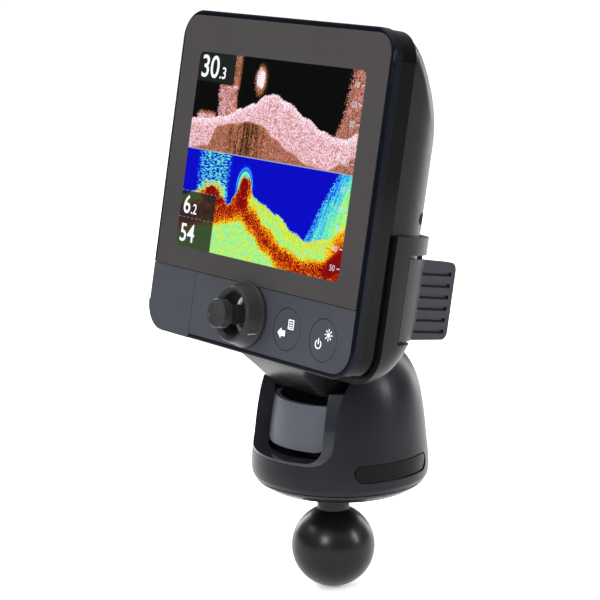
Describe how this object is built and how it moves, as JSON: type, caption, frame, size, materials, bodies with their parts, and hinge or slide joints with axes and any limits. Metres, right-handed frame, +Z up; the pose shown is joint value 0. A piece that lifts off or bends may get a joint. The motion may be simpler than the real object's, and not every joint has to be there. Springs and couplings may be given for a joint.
{
  "type": "fish finder",
  "caption": "Sonar display with a thumb stick, dial, keys and card door, held in a quick-release cradle that tilts and swivels on a ball-mount dome.",
  "frame": {"origin": "centre of the mounting ball", "axes": "+Z up, the screen faces -Y and +X is to its right; the display leans back 9.8 degrees at rest"},
  "size_m": [0.1528, 0.1106, 0.2598],
  "materials": {
    "satin_case": "satin moulded dark grey",
    "gloss_band": "polished black",
    "keypad_grey": "fine satin blue grey",
    "knob_grey": "satin with light rims",
    "cover": "bonded glass over a printed border, satin",
    "paddle_navy": "satin navy black",
    "ball_rubber": "semi-gloss moulded rubber",
    "seal": "soft black",
    "alloy": "black anodised",
    "steel": "stainless",
    "board": "green solder mask",
    "chips": "moulded packages",
    "ceramic_patch": "fired patch",
    "panel_glass": "display stack",
    "bearing": "acetal"
  },
  "bodies": {
    "ball_base": {"base_plate": "satin_case", "swivel_washer": "bearing", "swivel_retainer": "alloy", "retainer_screws": "steel", "ball_core": "alloy", "ball_cover": "ball_rubber", "ball_bolt": "steel", "ball_bolt_washer": "steel"},
    "swivel_dome": {"dome_shell": "satin_case", "name_plate": "gloss_band", "notch_trim": "gloss_band", "inner_cup": "keypad_grey", "tilt_pin": "steel", "tilt_pin_plug": "satin_case", "tilt_washers": "bearing"},
    "cradle": {"cradle_shell": "satin_case", "tilt_arm": "satin_case", "cable_inlet": "seal", "docking_plug": "chips"},
    "right_latch": {"right_release_paddle": "paddle_navy"},
    "left_latch": {"left_release_paddle": "paddle_navy"},
    "display": {"front_bezel": "gloss_band", "cover_glass": "cover", "keypad_panel": "keypad_grey", "mid_band": "gloss_band", "case_seal": "seal", "rear_case": "satin_case", "docking_socket": "chips", "lcd_panel": "panel_glass", "lcd_backlight": "bearing", "chassis_plate": "steel", "main_board": "board", "board_posts": "alloy", "board_screws": "steel", "board_chips": "chips", "gps_antenna": "ceramic_patch", "keypad_board": "board", "button_switches": "steel", "card_reader": "steel", "knob_bearing": "bearing", "case_screws": "steel"},
    "card_door": {"card_door": "keypad_grey", "card_door_pin": "steel"},
    "knob": {"rotary_knob": "knob_grey"},
    "gimbal": {"stick_gimbal": "alloy"},
    "stick": {"stick_shaft": "steel"},
    "stick_button": {"stick_cap": "knob_grey"},
    "back_key": {"back_button": "keypad_grey"},
    "power_key": {"power_button": "keypad_grey"}
  },
  "joints": [
    {"name": "swivel", "type": "hinge", "parent": "ball_base", "child": "swivel_dome", "pos_m": [0, 0.0038, 0.04], "axis": [0, 0, 1], "continuous": true},
    {"name": "tilt", "type": "hinge", "parent": "swivel_dome", "child": "cradle", "pos_m": [0, 0.0038, 0.06], "axis": [-1, 0, 0], "range_deg": [-6, 22]},
    {"name": "display_release", "type": "slide", "parent": "cradle", "child": "display", "axis": [0, 0.1702, 0.9854], "range_m": [0, 0.09]},
    {"name": "right_latch_flex", "type": "hinge", "parent": "cradle", "child": "right_latch", "pos_m": [0.0762, -0.02822, 0.12795], "axis": [0, 0.1702, 0.9854], "range_deg": [0, 3], "stiffness_Nm_per_rad": 3, "springref_deg": -2.86},
    {"name": "left_latch_flex", "type": "hinge", "parent": "cradle", "child": "left_latch", "pos_m": [-0.0762, -0.02822, 0.12795], "axis": [0, -0.1702, -0.9854], "range_deg": [0, 3], "stiffness_Nm_per_rad": 3, "springref_deg": -2.86},
    {"name": "card_door_hinge", "type": "hinge", "parent": "display", "child": "card_door", "pos_m": [-0.0733, -0.04679, 0.11796], "axis": [0, -0.1702, -0.9854], "range_deg": [0, 100]},
    {"name": "knob_turn", "type": "hinge", "parent": "display", "child": "knob", "pos_m": [0, -0.05266, 0.1139], "axis": [0, -0.9854, 0.1702], "continuous": true},
    {"name": "stick_up_down", "type": "hinge", "parent": "display", "child": "gimbal", "pos_m": [0, -0.04576, 0.11271], "axis": [1, 0, 0], "range_deg": [-8, 8], "stiffness_Nm_per_rad": 0.05},
    {"name": "stick_left_right", "type": "hinge", "parent": "gimbal", "child": "stick", "pos_m": [0, -0.04576, 0.11271], "axis": [0, 0.1702, 0.9854], "range_deg": [-8, 8], "stiffness_Nm_per_rad": 0.05},
    {"name": "stick_press", "type": "slide", "parent": "stick", "child": "stick_button", "axis": [0, 0.9854, -0.1702], "range_m": [0, 0.0008], "stiffness_N_per_m": 400, "springref_m": -0.0012},
    {"name": "back_press", "type": "slide", "parent": "display", "child": "back_key", "axis": [0, 0.9854, -0.1702], "range_m": [0, 0.0008], "stiffness_N_per_m": 400, "springref_m": -0.0012},
    {"name": "power_press", "type": "slide", "parent": "display", "child": "power_key", "axis": [0, 0.9854, -0.1702], "range_m": [0, 0.0008], "stiffness_N_per_m": 400, "springref_m": -0.0012}
  ]
}
